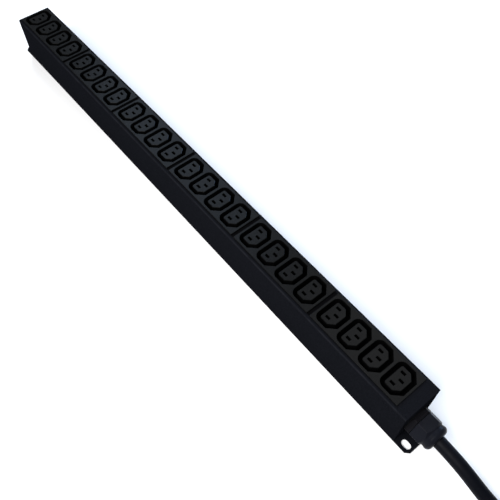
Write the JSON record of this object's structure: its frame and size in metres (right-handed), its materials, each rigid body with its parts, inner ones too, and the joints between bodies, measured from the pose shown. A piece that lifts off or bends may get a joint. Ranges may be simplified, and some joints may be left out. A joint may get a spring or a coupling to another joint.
{
  "type": "rack power strip",
  "caption": "Slim sheet-steel housing with recessed appliance outlets along its face, slotted ears at both ends, and a cable gland with a supply cord tied in a hank.",
  "frame": {"origin": "centre of the four ear slots, on the underside of the back plate", "axes": "+X along the strip towards the cable gland, +Z out of the back plate the way the outlets face"},
  "size_m": [1.1146, 0.1216, 0.061],
  "materials": {
    "coated_steel": "fine-textured black powder coat",
    "module_plastic": "satin black moulding",
    "gland_plastic": "satin black nylon",
    "seal_rubber": "matt",
    "cord_sheath": "satin black sheath",
    "contact_brass": "rolled",
    "blade_brass": "plated",
    "zinc_steel": "zinc plated",
    "line_insulation": "satin brown",
    "neutral_insulation": "satin blue",
    "earth_insulation": "satin green with a yellow stripe",
    "boot_plastic": "translucent milky nylon",
    "plug_plastic": "satin black moulding",
    "tie_fabric": "woven hook-and-loop"
  },
  "bodies": {
    "strip": {"housing_cover": "coated_steel", "back_plate": "coated_steel", "near_end_plate": "coated_steel", "far_end_plate": "coated_steel", "cover_screws": "zinc_steel", "outlet_shell_1": "module_plastic", "contact_carrier_1": "module_plastic", "outlet_cores_1": "module_plastic", "rear_cover_1": "module_plastic", "outlet_shell_2": "module_plastic", "contact_carrier_2": "module_plastic", "outlet_cores_2": "module_plastic", "rear_cover_2": "module_plastic", "outlet_shell_3": "module_plastic", "contact_carrier_3": "module_plastic", "outlet_cores_3": "module_plastic", "rear_cover_3": "module_plastic", "outlet_shell_4": "module_plastic", "contact_carrier_4": "module_plastic", "outlet_cores_4": "module_plastic", "rear_cover_4": "module_plastic", "outlet_shell_5": "module_plastic", "contact_carrier_5": "module_plastic", "outlet_cores_5": "module_plastic", "rear_cover_5": "module_plastic", "outlet_shell_6": "module_plastic", "contact_carrier_6": "module_plastic", "outlet_cores_6": "module_plastic", "rear_cover_6": "module_plastic", "line_bar": "contact_brass", "neutral_bar": "contact_brass", "earth_bar": "contact_brass", "line_lead": "line_insulation", "neutral_lead": "neutral_insulation", "earth_lead": "earth_insulation", "lead_boots": "boot_plastic", "earth_stud": "zinc_steel", "earth_nut": "zinc_steel", "earth_bond_lead": "earth_insulation", "gland_body": "gland_plastic", "gland_locknut": "gland_plastic", "gland_claw": "gland_plastic", "gland_washer": "seal_rubber", "gland_seal": "seal_rubber", "cord_inner_end": "cord_sheath", "supply_cord": "cord_sheath", "supply_cord_hank": "cord_sheath", "supply_cord_tail": "cord_sheath", "cord_ties": "tie_fabric", "plug_body": "plug_plastic", "plug_blades": "blade_brass", "plug_strain_relief": "cord_sheath"},
    "cap_nut": {"gland_cap_nut": "gland_plastic"}
  },
  "joints": [
    {"name": "gland_nut_turn", "type": "hinge", "parent": "strip", "child": "cap_nut", "pos_m": [0.37, 0, 0.0255], "axis": [1, 0, 0], "range_deg": [0, 270]}
  ]
}
